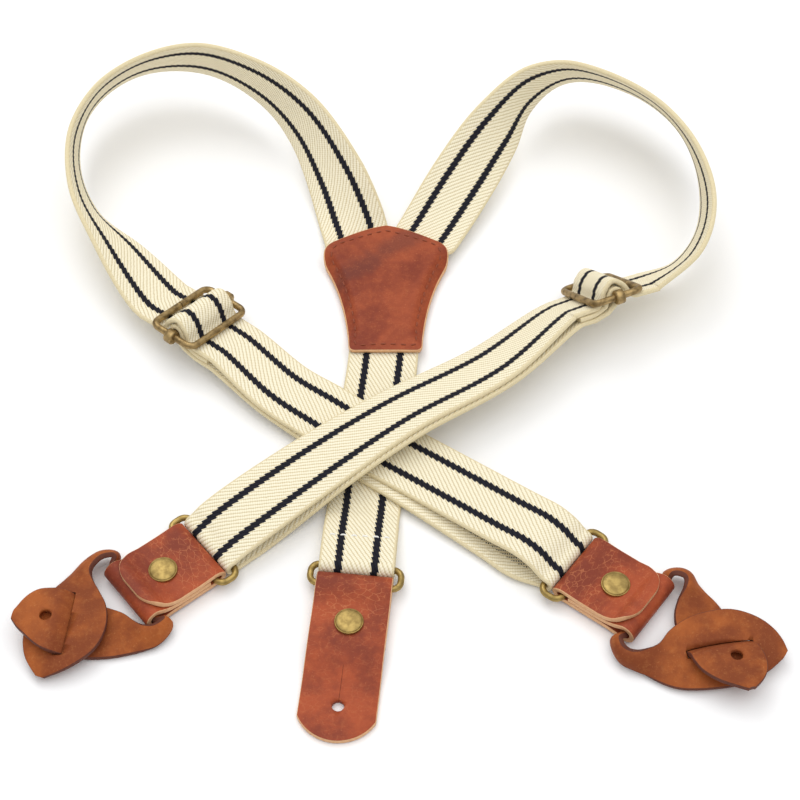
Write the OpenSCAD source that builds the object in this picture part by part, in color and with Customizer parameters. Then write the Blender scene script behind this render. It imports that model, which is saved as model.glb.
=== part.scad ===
// Y-back button suspenders lying crossed on a table.
// Origin: the middle of the leather patch's back face, on the table.
// +Y runs from the tabs to the shoulder loops, +Z is up, and +X is on the side named right.

/* [Webbing] */
// Width of the elastic webbing
strap_w = 25; // [24:0.5:25]
// Thickness of the elastic webbing
strap_t = 1.8; // [1.4:0.1:1.8]

/* [Leather] */
// Thickness of the leather in the tabs and button loops
leather_t = 1.8; // [1.4:0.1:1.8]
// Thickness of each leather layer of the patch
patch_t = 1.4; // [1:0.1:1.4]
// Width of the three leather tabs
tab_w = 25; // [22:0.5:25]
// Length of the rear tab, from the middle of its ring
rear_tab_l = 59; // [57:0.5:62]
// Diameter of the rear buttonhole
buttonhole_d = 4; // [3:0.5:5]
// Length of the slit that opens the rear buttonhole
slit_l = 14; // [10:1:15]

/* [Wire rings] */
// Length of a ring over its outside
ring_l = 32; // [32:0.2:33]
// Width of a ring over its outside
ring_w = 9.6; // [9.6:0.2:10.4]
// Diameter of the ring wire
ring_wire = 2.2; // [1.8:0.1:2.2]

/* [Sliders] */
// Size of a slider frame across the strap, outside
slider_w = 31.5; // [31.5:0.5:33]
// Size of a slider frame along the strap, outside
slider_l = 21; // [21:0.5:23]
// Diameter of the slider wire
slider_wire = 2.5; // [2:0.1:2.5]
// Length of the collars of the centre bar
collar_l = 3.6; // [3:0.2:5]

/* [Rivets] */
// Diameter of a domed rivet cap
cap_d = 9.5; // [8:0.5:10]
// Height of the dome
cap_h = 1.6; // [1.2:0.1:2]
// Diameter of the rivet post
post_d = 3.2; // [2.6:0.2:3.4]

/* [Hidden] */
$fn = 48;
webbing = [0.93, 0.88, 0.75];
tan_leather = [0.62, 0.27, 0.15];
loop_leather = [0.66, 0.33, 0.15];
brass = [0.62, 0.53, 0.33];
thread_brown = [0.45, 0.2, 0.12];
thread_white = [0.95, 0.94, 0.9];

steps = 4;                 // spline steps between two route rows
fit = 0.05;                // running clearance of metal in metal or leather
skin = 0.1;                // clearance between stacked layers
ring_r = ring_wire / 2;
fold_x = (ring_w - ring_wire) / 2;      // wire centre, from the middle of a ring
fold_r = ring_r + skin + strap_t / 2;   // middle of the webbing or leather round the wire
ring_z = 3.9;                           // height of the ring wires
bar_r = 1.25;                           // radius of a slider's centre bar
wrap_r = bar_r + skin + strap_t / 2;    // middle of the webbing round the centre bar
end_bar_x = (slider_l - slider_wire) / 2;
side_wire_y = (slider_w - slider_wire) / 2;

// Frames: [origin, along, across, normal]
function unit(v) = v / norm(v);
function banked_frame(origin, heading, bank) =
    let (along = [cos(heading), sin(heading), 0], left = [-sin(heading), cos(heading), 0],
         across = cos(bank) * left - sin(bank) * [0, 0, 1])
    [origin, along, across, cross(along, across)];
function place(frame, x, z) = frame[0] + x * frame[1] + z * frame[3];

LEFT_RING = banked_frame([-59.8, -117.5, ring_z], 219, 0);
RIGHT_RING = banked_frame([62.5, -123.5, ring_z], -37, 0);
REAR_RING = banked_frame([-9.3, -128, ring_z], -96, 0);
LEFT_BANK = 12;
RIGHT_BANK = -36;
LEFT_SLIDER = banked_frame([-66.8, -22.5, 10.8], -38, LEFT_BANK);
RIGHT_SLIDER = banked_frame([77.5, -13.5, 15.5], -156, RIGHT_BANK);

// Routes of the single webbing, chosen by hand: [x, y, z, bank]
LEFT_LOOP = [[-8, 8, 2.4, 0], [-10, 18, 2.5, 0], [-11.5, 26, 2.8, 1], [-14, 34, 5.5, 20], [-19.5, 47, 12, 42],
    [-32, 69, 20, 70], [-50, 87, 24, 95], [-73, 97, 26.5, 112], [-96, 93.5, 26, 122], [-112.5, 78, 24, 114],
    [-118.5, 55, 20, 92], [-113, 31, 15.5, 68], [-98.5, 10.5, 12, 38]];
RIGHT_LOOP = [[9, 11, 4.4, 0], [16, 24, 4.6, -2], [29, 46, 11, -24], [42, 67, 17, -52], [55, 84.5, 22, -90],
    [71, 91, 25, -120], [90.5, 84, 25.5, -127], [107.5, 67.5, 25, -121], [117, 44, 23, -103],
    [117.5, 18, 20, -80], [108, -1, 17, -56]];
// Routes of the doubled webbing: [x, y, z, bank, drop to the returning layer, its slip to the left]
LEFT_FRONT = [[-36, -51, 6.2, 5, 2.4, 0], [-22, -61, 5.2, 0, 2, -0.8], [-9, -70.5, 5.05, 0, 2, -2],
    [16, -87.4, 5.3, 0, 2.2, -3.4], [42, -107, 8.2, 0, 6.1, -3.5], [50.4, -114, 10.2, 0, 8.1, -3.4],
    [55.2, -117.8, 9, 0, 6.9, -2]];
RIGHT_FRONT = [[37, -46, 13, -20, 2.2, 0.6], [5, -66, 12, -14, 2, 1], [-20, -84, 9.9, -4, 2, 1],
    [-45.5, -105.8, 9, 3, 6.8, 0], [-53.4, -112.3, 7.5, 2, 5.5, 0]];
REAR = [[0, -4, 2.4, 0, 0, 0], [-0.8, -34, 2.4, 0, 0, 0], [-2.5, -50, 1.2, 0, 0, 0], [-4, -64, 1.05, 0, 0, 0],
    [-6.3, -90, 1.05, 0, 0, 0], [-7.1, -100, 1.1, 0, 0, 0], [-7.6, -106, 3, 0, 2, 0],
    [-8.4, -116.5, 5.2, 0, 3.5, 0]];

// Webbing through a slider, in the slider's frame: [along the strap, height above the wires]
ARCH = [[-17, -3], [-end_bar_x, -2.5], [-7.6, -2.35], [-5.5, -0.7], [-3.7, 2.8], [0, 5.3], [3.7, 2.8],
    [5.5, -0.7], [7.6, -2.35], [end_bar_x, -2.5], [17, -2.6]];
EXIT_DROP = 3.9;           // from there to the returning layer
TAIL_IN = [[end_bar_x, -6.5], [4, -5.3]];
TAIL_OUT = [[4.6, -3], [end_bar_x, -4.4], [15, -4.5]];
WRAP = [-120, -325];       // the tail goes round the centre bar between these angles
WRAP_STEPS = 10;

// Point on a centripetal Catmull-Rom spline, between rows b and c
function knot(a, b) = sqrt(norm([for (i = [0:2]) b[i] - a[i]]));
function mix(a, b, ta, tb, t) = ((tb - t) * a + (t - ta) * b) / (tb - ta);
function spline_row(a, b, c, d, s) =
    let (tb = knot(a, b), tc = tb + knot(b, c), td = tc + knot(c, d), t = tb + s * (tc - tb),
         ab = mix(a, b, 0, tb, t), bc = mix(b, c, tb, tc, t), cd = mix(c, d, tc, td, t))
    mix(mix(ab, bc, 0, tc, t), mix(bc, cd, tb, td, t), tb, tc, t);
// Spline through the rows; "before" and "after" are rows that only steer its ends
function spline_between(before, rows, after) =
    let (last = len(rows) - 1)
    [for (i = [0:last - 1], j = [0:steps - 1])
        spline_row(i == 0 ? before : rows[i - 1], rows[i], rows[i + 1], i == last - 1 ? after : rows[i + 2],
            j / steps),
     rows[last]];
function mirrored(row, next) = 2 * row - next;
function spline(rows) =
    let (last = len(rows) - 1)
    spline_between(mirrored(rows[0], rows[1]), rows, mirrored(rows[last], rows[last - 1]));

// Stations: [point, across]
function tangent(rows, i) =
    let (a = rows[max(i - 1, 0)], b = rows[min(i + 1, len(rows) - 1)]) unit([for (k = [0:2]) b[k] - a[k]]);
function banked_across(along, bank) =
    let (left = unit(cross([0, 0, 1], along))) cos(bank) * left - sin(bank) * cross(along, left);
function stations(rows) =
    [for (i = [0:len(rows) - 1]) [[for (k = [0:2]) rows[i][k]], banked_across(tangent(rows, i), rows[i][3])]];
function returning(rows, first) =
    [for (i = [len(rows) - 1:-1:first])
        let (along = tangent(rows, i), level = unit([along[0], along[1], 0]),
             across = banked_across(level, rows[i][3]), point = [for (k = [0:2]) rows[i][k]])
        [point - rows[i][4] * cross(level, across) + rows[i][5] * across, across]];
function fold(frame, x, r, from, to, n) =
    [for (i = [0:n]) let (angle = from + (to - from) * i / n)
        [place(frame, x + r * cos(angle), r * sin(angle)), frame[2]]];
function local_stations(frame, points) = [for (p = points) [place(frame, p[0], p[1]), frame[2]]];

// A strip of rectangular section swept along its stations, with a width at each one
module strip(path, widths, t) {
    n = len(path);
    centres = [for (s = path) s[0]];
    corners = [for (i = [0:n - 1])
        let (across = path[i][1], normal = unit(cross(tangent(centres, i), across)))
        for (c = [[-1, -1], [-1, 1], [1, 1], [1, -1]])
            centres[i] + c[0] * widths[i] / 2 * across + c[1] * t / 2 * normal];
    sides = [for (i = [0:n - 2], k = [0:3])
        let (a = 4 * i + k, b = 4 * i + (k + 1) % 4) for (f = [[a, b, b + 4], [a, b + 4, a + 4]]) f];
    polyhedron(corners, concat([[3, 2, 1, 0]], sides, [[for (k = [0:3]) 4 * (n - 1) + k]]), convexity = 10);
}
module webbing_strip(path) {
    color(webbing) strip(path, [for (s = path) strap_w], strap_t);
}

// Shoulder strap: patch, shoulder loop, slider, front run, round the ring and back to the centre bar
function slider_row(slider, point, bank) = concat(place(slider, point[0], point[1]), [bank]);
function slider_exit_row(slider, point, bank) = concat(slider_row(slider, point, bank), [EXIT_DROP, 0]);
function ring_row(ring, x) = concat(place(ring, x, fold_r), [0, 2 * fold_r, 0]);
function without_first(list) = [for (i = [1:len(list) - 1]) list[i]];
function without_last(list) = [for (i = [0:len(list) - 2]) list[i]];
function shoulder_path(loop, slider, bank, front, ring) =
    let (last = len(ARCH) - 1,
         shoulder = spline_between(mirrored(loop[0], loop[1]),
             concat(loop, [slider_row(slider, ARCH[0], bank)]), slider_row(slider, ARCH[1], bank)),
         arch = spline([for (p = ARCH) concat(p, 0)]),
         leaving = slider_exit_row(slider, ARCH[last], bank),
         run = spline_between(slider_exit_row(slider, ARCH[last - 1], bank),
             concat([leaving], front, [ring_row(ring, -fold_x)]),
             ring_row(ring, fold_x)))
    concat(without_last(stations(shoulder)), local_stations(slider, arch), without_first(stations(run)),
        fold(ring, -fold_x, fold_r, 67, -67, 6), returning(run, 0),
        local_stations(slider, TAIL_IN), fold(slider, 0, wrap_r, WRAP[0], WRAP[1], WRAP_STEPS),
        local_stations(slider, TAIL_OUT));
// The front runs cross, so each strap ends at the ring of the other side
LEFT_PATH = shoulder_path(LEFT_LOOP, LEFT_SLIDER, LEFT_BANK, LEFT_FRONT, RIGHT_RING);
RIGHT_PATH = shoulder_path(RIGHT_LOOP, RIGHT_SLIDER, RIGHT_BANK, RIGHT_FRONT, LEFT_RING);
module strap_left() { webbing_strip(LEFT_PATH); }
module strap_right() { webbing_strip(RIGHT_PATH); }

// Rear strap: patch, down over the table, round the rear ring and sewn to itself
REAR_RUN = spline(concat(REAR, [ring_row(REAR_RING, -fold_x)]));
REAR_RETURN = steps * (len(REAR) - 2);      // the webbing is double from this station on
REAR_PATH = concat(stations(REAR_RUN), fold(REAR_RING, -fold_x, fold_r, 67, -67, 6),
    returning(REAR_RUN, REAR_RETURN));
module strap_rear() { webbing_strip(REAR_PATH); }

// Solids in the frame of a ring or a slider
module in_ring(frame) {
    translate(frame[0]) rotate([0, 0, atan2(frame[1][1], frame[1][0])]) children();
}
module in_slider(frame, bank) {
    translate(frame[0]) rotate([0, 0, atan2(frame[1][1], frame[1][0])]) rotate([-bank, 0, 0]) children();
}

// Rounded rectangle of round wire, centred, straight wires joined by quarter bends
module wire_rectangle(length, width, wire, bend) {
    x = width / 2 - wire / 2;
    y = length / 2 - wire / 2;
    for (s = [-1, 1]) {
        translate([s * x, 0, 0]) rotate([90, 0, 0]) cylinder(d = wire, h = 2 * (y - bend), center = true);
        translate([0, s * y, 0]) rotate([0, 90, 0]) cylinder(d = wire, h = 2 * (x - bend), center = true);
    }
    for (q = [0:3]) {
        sx = q == 0 || q == 3 ? 1 : -1;
        sy = q < 2 ? 1 : -1;
        translate([sx * (x - bend), sy * (y - bend), 0]) rotate([0, 0, 90 * q])
            rotate_extrude(angle = 90) translate([bend, 0]) circle(d = wire);
    }
}
module ring(frame) {
    bend = 2.9;
    color(brass) in_ring(frame) wire_rectangle(ring_l, ring_w, ring_wire, bend);
}
module ring_left() { ring(LEFT_RING); }
module ring_right() { ring(RIGHT_RING); }
module ring_rear() { ring(REAR_RING); }

// Slider frame, its wire butted together in the middle of one end bar
module slider_frame(frame, bank, joint_x) {
    bend = 3;
    joint_gap = 0.3;
    color(brass) in_slider(frame, bank) difference() {
        wire_rectangle(slider_w, slider_l, slider_wire, bend);
        translate([joint_x, 0, 0]) cube([2 * slider_wire, joint_gap, 2 * slider_wire], center = true);
    }
}
// Centre bar with a collar at each end that slides on the side wires of the frame
module slider_bar(frame, bank) {
    collar_r = 2.2;
    collar_shift = 0.35;       // the collar is thicker on its outer side
    bore_r = slider_wire / 2 + fit;
    color(brass) in_slider(frame, bank) difference() {
        union() {
            rotate([90, 0, 0]) cylinder(r = bar_r, h = 2 * side_wire_y, center = true);
            for (s = [-1, 1]) translate([0, s * (side_wire_y + collar_shift), 0]) rotate([0, 90, 0])
                cylinder(r = collar_r, h = collar_l, center = true);
        }
        for (s = [-1, 1]) translate([0, s * side_wire_y, 0]) rotate([0, 90, 0])
            cylinder(r = bore_r, h = collar_l + 1, center = true);
    }
}
module slider_frame_left() { slider_frame(LEFT_SLIDER, LEFT_BANK, -end_bar_x); }
module slider_frame_right() { slider_frame(RIGHT_SLIDER, RIGHT_BANK, end_bar_x); }
module slider_bar_left() { slider_bar(LEFT_SLIDER, LEFT_BANK); }
module slider_bar_right() { slider_bar(RIGHT_SLIDER, RIGHT_BANK); }

// Patch: two leather layers with the ends of the three straps between them
PATCH_TILT = 2.4;          // the front layer slopes down towards the single rear strap
PATCH_LIFT = 5.2;          // height of the front layer's underside at the origin
function quadratic(a, b, c, t) = (1 - t) * (1 - t) * a + 2 * t * (1 - t) * b + t * t * c;
function curve(a, b, c, n) = [for (i = [0:n - 1]) quadratic(a, b, c, i / n)];
PATCH_HALF = concat(curve([0, 26], [7, 25], [18.5, 18.6], 5), curve([18.5, 18.6], [25, 15.5], [22.6, 8.8], 5),
    curve([22.6, 8.8], [14.4, -8], [13.3, -31], 8), curve([13.3, -31], [13.2, -33.3], [11, -33.3], 3),
    [[11, -33.3]]);
PATCH_OUTLINE = concat(PATCH_HALF,
    [for (i = [len(PATCH_HALF) - 1:-1:1]) [-PATCH_HALF[i][0], PATCH_HALF[i][1]]]);
module patch_outline() { polygon(PATCH_OUTLINE); }
module on_patch_front() { translate([0, 0, PATCH_LIFT]) rotate([PATCH_TILT, 0, 0]) children(); }
module patch_back() { color(tan_leather) linear_extrude(patch_t) patch_outline(); }
module patch_front() { color(tan_leather) on_patch_front() linear_extrude(patch_t) patch_outline(); }

// One row of running stitches along the patch's edge, on the front layer
stitch_l = 1.6;            // visible length of a stitch
stitch_d = 0.6;            // thread diameter
stitch_pitch = 3.6;
stitch_inset = 3;
module stitch(length) {
    rotate([0, 90, 0]) cylinder(d = stitch_d, h = length, center = true, $fn = 16);
}
function inset_point(i) =
    let (n = len(PATCH_OUTLINE), a = PATCH_OUTLINE[(i + n - 1) % n], b = PATCH_OUTLINE[i],
         c = PATCH_OUTLINE[(i + 1) % n], along = unit(c - a))
    b + stitch_inset * [along[1], -along[0]];
SEAM = [for (i = [0:len(PATCH_OUTLINE)]) inset_point(i % len(PATCH_OUTLINE))];
function to_next(i) = i < len(SEAM) - 1 ? norm(SEAM[i + 1] - SEAM[i]) : 0;
SEAM_LENGTHS = [for (i = 0, total = 0; i < len(SEAM); total = total + to_next(i), i = i + 1) total];
function seam_point(d) =
    let (i = max([for (k = [0:len(SEAM) - 2]) SEAM_LENGTHS[k] <= d ? k : 0]),
         s = (d - SEAM_LENGTHS[i]) / norm(SEAM[i + 1] - SEAM[i]))
    SEAM[i] + s * (SEAM[i + 1] - SEAM[i]);
module patch_stitching() {
    total = SEAM_LENGTHS[len(SEAM_LENGTHS) - 1];
    count = floor(total / stitch_pitch);
    color(thread_brown) on_patch_front() for (i = [0:count - 1]) {
        a = seam_point(i * total / count);
        b = seam_point(i * total / count + stitch_l);
        translate([(a[0] + b[0]) / 2, (a[1] + b[1]) / 2, patch_t + stitch_d / 2 + 0.02])
            rotate([0, 0, atan2(b[1] - a[1], b[0] - a[0])]) stitch(stitch_l);
    }
}

// Row of stitches across a strap at one of its stations, resting on its upper (1) or lower (-1) face
module cross_stitches(path, i, face) {
    at = path[i][0];
    across = path[i][1];
    normal = unit(cross(unit(path[i + 1][0] - path[i - 1][0]), across));
    count = floor(strap_w / stitch_pitch);
    rise = strap_t / 2 + stitch_d / 2 + 0.05;
    color(thread_white) for (k = [0:count - 1])
        translate(at + face * rise * normal + (k - (count - 1) / 2) * stitch_pitch * across)
            rotate([0, -asin(across[2]), atan2(across[1], across[0])]) stitch(stitch_l);
}
module strap_rear_stitching() { cross_stitches(REAR_PATH, REAR_RETURN + 3, 1); }
// The stitches through the tail show on the face of the returning layer, just past the slider
TAIL_STATIONS = len(TAIL_IN) + WRAP_STEPS + 1 + len(TAIL_OUT);
module strap_left_stitching() { cross_stitches(LEFT_PATH, len(LEFT_PATH) - TAIL_STATIONS, 1); }
module strap_right_stitching() { cross_stitches(RIGHT_PATH, len(RIGHT_PATH) - TAIL_STATIONS, 1); }

// Leather strip of constant width, extruded from its side view [x, z]
function strip_normal(p, i) =
    let (d = unit(p[min(i + 1, len(p) - 1)] - p[max(i - 1, 0)])) [-d[1], d[0]];
function strip_outline(p, t) = concat([for (i = [0:len(p) - 1]) p[i] + t / 2 * strip_normal(p, i)],
    [for (i = [len(p) - 1:-1:0]) p[i] - t / 2 * strip_normal(p, i)]);
function arc(centre, r, from, to, n) =
    [for (i = [0:n]) let (angle = from + (to - from) * i / n) centre + r * [cos(angle), sin(angle)]];
module leather_strip(side_view, width) {
    rotate([90, 0, 0]) linear_extrude(height = width, center = true)
        polygon(strip_outline(side_view, leather_t));
}
// The leather is folded loosely round a ring's wire and reaches back to the webbing
fold_reach = fold_r + 1.1;
TAB_FOLD = [for (angle = [90:15:270]) [fold_x + fold_reach * cos(angle), fold_r * sin(angle)]];
// Plan of a tab that ends in rounded corners
module rounded_end(length, width, corner) {
    translate([0, -width / 2]) square([length - corner, width]);
    translate([0, corner - width / 2]) square([length, width - 2 * corner]);
    for (s = [-1, 1]) translate([length - corner, s * (width / 2 - corner)]) circle(r = corner);
}
// Plan of a tab that ends in one shallow arc
module arched_end(length, width, r) {
    intersection() {
        translate([0, -width / 2]) square([length, width]);
        translate([length - r, 0]) union() {
            circle(r = r);
            translate([-length, -r]) square([length, 2 * r]);
        }
    }
}

// Front tab: flap over the ring, bottom layer, eye for the button loop, and an end under the flap
rivet_x = 15.8;                            // from the middle of the ring
flap_l = 28.4;
eye_x = 27.2;
eye_r = 2;                                 // inner radius of the eye
eye_z = eye_r + leather_t + skin - ring_z; // from the height of the ring wires
eye_fold = eye_r + leather_t / 2;
FLAP = [[flap_l + 1, 4.85], [26.2, 4.85], [20.4, 1.75], [9, 1.75], [fold_x, fold_r]];
UNDER = concat(TAB_FOLD, [[21, -fold_r]], arc([eye_x, eye_z], eye_fold, -90, 105, 14),
    [[20.9, -0.15], [5.8, -0.15]]);
module tab_front(frame) {
    color(tan_leather) in_ring(frame) difference() {
        union() {
            intersection() {
                leather_strip(FLAP, tab_w);
                linear_extrude(height = 12, center = true) rounded_end(flap_l, tab_w, 9);
            }
            leather_strip(UNDER, tab_w);
        }
        translate([rivet_x, 0, 0]) cylinder(r = post_d / 2 + fit, h = 20, center = true);
    }
}
module tab_left() { tab_front(LEFT_RING); }
module tab_right() { tab_front(RIGHT_RING); }

// Rear tab: one long layer with a buttonhole, and a short return behind it
rear_rivet_x = 18;
buttonhole_x = 46.8;
REAR_TOP = [[rear_tab_l + 1, -2.9], [38, -2.8], [26, -0.1], [12, -0.1], [6.5, 1.7], [fold_x, fold_r]];
REAR_UNDER = concat(TAB_FOLD, [[25, -fold_r]]);
module tab_rear() {
    color(tan_leather) in_ring(REAR_RING) difference() {
        union() {
            intersection() {
                leather_strip(REAR_TOP, tab_w);
                linear_extrude(height = 12, center = true) arched_end(rear_tab_l, tab_w, 14);
            }
            leather_strip(REAR_UNDER, tab_w);
        }
        translate([rear_rivet_x, 0, 0]) cylinder(r = post_d / 2 + fit, h = 20, center = true);
        translate([buttonhole_x, 0, 0]) cylinder(d = buttonhole_d, h = 20, center = true);
        translate([buttonhole_x - slit_l / 2, 0, 0]) cube([slit_l, 0.5, 20], center = true);
    }
}

// Rivets: a base disc with a post below, and a domed cap over the post
base_z = 0.1 - ring_z;
base_h = 0.7;
post_grip = 0.9;           // how far the post reaches into the cap
module rivet_base(frame, x, top) {
    color(brass) in_ring(frame) translate([x, 0, base_z]) {
        cylinder(d = cap_d - 0.5, h = base_h);
        cylinder(d = post_d, h = top + post_grip - base_z);
    }
}
module rivet_cap(frame, x, top) {
    rim = 0.5;
    dome_r = (pow(cap_d / 2, 2) + pow(cap_h - rim, 2)) / (2 * (cap_h - rim));
    dome_angle = asin(cap_d / 2 / dome_r);
    color(brass) in_ring(frame) translate([x, 0, top]) difference() {
        rotate_extrude() polygon(concat([[0, 0], [cap_d / 2 - 0.2, 0], [cap_d / 2, 0.2]],
            [for (i = [0:8]) let (angle = dome_angle * (1 - i / 8))
                [dome_r * sin(angle), cap_h - dome_r * (1 - cos(angle))]]));
        translate([0, 0, -1]) cylinder(r = post_d / 2 + fit, h = 1 + post_grip + fit);
    }
}
FRONT_TOP = 2.75;          // top of the flap at the rivet, above the ring wires
REAR_TOP_FACE = 0.9;
module rivet_base_left() { rivet_base(LEFT_RING, rivet_x, FRONT_TOP); }
module rivet_base_right() { rivet_base(RIGHT_RING, rivet_x, FRONT_TOP); }
module rivet_base_rear() { rivet_base(REAR_RING, rear_rivet_x, REAR_TOP_FACE); }
module rivet_cap_left() { rivet_cap(LEFT_RING, rivet_x, FRONT_TOP); }
module rivet_cap_right() { rivet_cap(RIGHT_RING, rivet_x, FRONT_TOP); }
module rivet_cap_rear() { rivet_cap(REAR_RING, rear_rivet_x, REAR_TOP_FACE); }

// Button loop: a leather strip through the eye of a front tab, each half ending in a leaf.
// The lower leaf passes under the upper one, comes up through its slit and carries the buttonhole.
// Rows in the frame of the eye: [left edge x, y, z, right edge x, y, z], looking along the strip
LEFT_UPPER = [[1.5, 0, 0, -1.5, 0, 0], [1.5, -8, 0, -1.5, -8, 0], [1.2, -12.6, 1, -1.2, -12.6, -1],
    [-2, -14.6, 3.2, -4.2, -16.6, -1.6], [1, -16.6, 3.4, -1, -20.2, -2.2],
    [5.4, -15.8, 3.2, 6, -20.8, -2.2], [7.4, -14, 3, 11, -19.8, -1.6], [8.4, -11, 2.8, 15, -18.6, -0.6],
    [9.2, -6.2, 2.5, 19, -17.4, 0.6], [10.4, -0.6, 2.4, 24, -15.8, 1.3], [15, 6.2, 2.2, 30, -13.2, 1.5],
    [22.5, 10.4, 1.9, 35.4, -10, 0.9], [30.4, 10.4, 1.1, 38.6, -6.2, 0], [35.6, 9, 0, 40.4, -1.8, -0.8],
    [39.6, 7, -1.6, 41, 4.6, -1.8]];
LEFT_LOWER = [[-1.5, 0, 0, 1.5, 0, 0], [-1.5, 8, 0, 1.5, 8, 0], [-1.2, 12.6, -1, 1.2, 12.6, 1],
    [-2.8, 16.4, -1.6, -1, 14.7, 2.9], [0.4, 18.6, -2.2, 2.6, 14.5, 2.4], [4.8, 19.4, -2.6, 5, 11.6, 1],
    [9, 18.2, -2.7, 6, 8, 0], [14, 16, -2.8, 7, 3.4, -0.8], [19, 13.4, -2.8, 10, -2.4, -1.6],
    [24.5, 9.6, -2.5, 13.2, -7, -1.2], [29.5, 6, -0.6, 15.4, -10, 0.8], [32.8, 4, 2.6, 17, -12, 3.4],
    [34.9, 2.2, 4.4, 18.6, -13.6, 4.6], [36.3, -1.2, 4.7, 20.6, -15.4, 4.7], [37.2, -7, 4.7, 25, -18, 4.7],
    [37.6, -10.6, 4.7, 29.5, -18, 4.7], [37.4, -14, 4.7, 34.4, -16.4, 4.7]];
LEFT_HOLE = [28.2, -7.9];
RIGHT_UPPER = [[1.5, 0, 0, -1.5, 0, 0], [1.5, -8, 0, -1.5, -8, 0], [1.2, -12.6, 1, -1.2, -12.6, -1],
    [0.8, -15.4, 3, -2, -15.8, -1.8], [2.6, -17.2, 3.2, 0.8, -18.6, -2.2],
    [5, -17.6, 3.1, 4.6, -20.5, -2.5], [7.2, -16.4, 2.7, 8.8, -20.2, -2.7],
    [9.4, -13.4, 2.2, 13, -19.5, -2.8], [11.2, -9.2, 1.5, 16.8, -19.2, -2.7],
    [11.4, -3.6, 1.6, 20.8, -18.6, -2.5], [13.5, 3.2, 2, 25.2, -17, -2.3],
    [17.2, 8.6, 2.6, 29.6, -14.2, -1.8], [23.2, 14.2, 3, 34, -10.6, -1.4], [31, 16.8, 3, 38.5, -6, -1.2],
    [37.5, 16.6, 2.6, 42, -0.6, -0.9], [42, 15.2, 1.6, 44.2, 5, -0.5], [45, 13.4, 0.6, 45.3, 10, 0]];
RIGHT_LOWER = [[-1.5, 0, 0, 1.5, 0, 0], [-1.5, 8, 0, 1.5, 8, 0], [-1.2, 12.6, -1, 1.2, 12.6, 1],
    [-2, 16, -1.8, 1.4, 14.6, 3.2], [0.8, 18.8, -2, 3.6, 16.2, 3.3], [4.6, 19.8, -2.2, 5.6, 15.8, 3.1],
    [8.6, 18.8, -2.2, 6.8, 13, 2.2], [12.6, 17.6, -2.2, 7.2, 9, 0.9], [17, 16.6, -2.4, 8.8, 4.2, 0],
    [21.5, 14.8, -2.7, 12, 0, -0.8], [26, 12.2, -2.8, 15.8, -3.4, -1.6], [30.5, 9.8, -2, 18.8, -5.8, -1.2],
    [34, 8.4, 0.8, 20.8, -7.2, 1.2], [36.8, 7.4, 3.8, 22.2, -8.6, 3.9], [39.6, 6, 4.6, 24.2, -10, 4.6],
    [42.6, 3.6, 4.7, 28.5, -11.4, 4.7], [44.6, 0.2, 4.7, 34, -11.2, 4.7], [45, -3.2, 4.7, 38.6, -10, 4.7],
    [44.6, -6.6, 4.7, 43, -8.6, 4.7]];
RIGHT_HOLE = [34, -0.6];
function in_eye(frame, x, y, z) = place(frame, eye_x + x, eye_z + z) + y * frame[2];
function edge_row(frame, r) =
    let (left = in_eye(frame, r[0], r[1], r[2]), right = in_eye(frame, r[3], r[4], r[5]))
    concat((left + right) / 2, (left - right) / 2);
module loop_half(frame, half) {
    rows = spline([for (r = half) edge_row(frame, r)]);
    halves = [for (r = rows) [r[3], r[4], r[5]]];
    strip([for (i = [0:len(rows) - 1]) [[for (k = [0:2]) rows[i][k]], unit(halves[i])]],
        [for (h = halves) 2 * norm(h)], leather_t);
}
module through_loop(frame, hole, r) {
    in_ring(frame) translate([eye_x + hole[0], hole[1], 0]) cylinder(r = r, h = 30, center = true);
}
module button_loop(frame, upper, lower, hole) {
    shank_clearance = 0.8;
    color(loop_leather) difference() {
        // resize() with no new size only makes one closed mesh of the strip
        resize([0, 0, 0]) union() {
            difference() {
                loop_half(frame, upper);
                through_loop(frame, hole, buttonhole_d / 2 + shank_clearance);
            }
            loop_half(frame, lower);
        }
        through_loop(frame, hole, buttonhole_d / 2);
    }
}
module button_loop_left() { button_loop(LEFT_RING, LEFT_UPPER, LEFT_LOWER, LEFT_HOLE); }
module button_loop_right() { button_loop(RIGHT_RING, RIGHT_UPPER, RIGHT_LOWER, RIGHT_HOLE); }

patch_back();
patch_front();
patch_stitching();
strap_left();
strap_right();
strap_rear();
strap_left_stitching();
strap_right_stitching();
strap_rear_stitching();
slider_frame_left();
slider_frame_right();
slider_bar_left();
slider_bar_right();
ring_left();
ring_right();
ring_rear();
tab_left();
tab_right();
tab_rear();
button_loop_left();
button_loop_right();
rivet_base_left();
rivet_base_right();
rivet_base_rear();
rivet_cap_left();
rivet_cap_right();
rivet_cap_rear();
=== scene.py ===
"""Y-back button suspenders: striped webbing, tan leather and antique brass, lying crossed on a table.

The webbing, leather and metal are rebuilt here round the CAD frame, in the row frame, in metres.
Rows and profiles are in millimetres, as in the CAD, and are scaled when a mesh is made.
"""

import math

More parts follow.
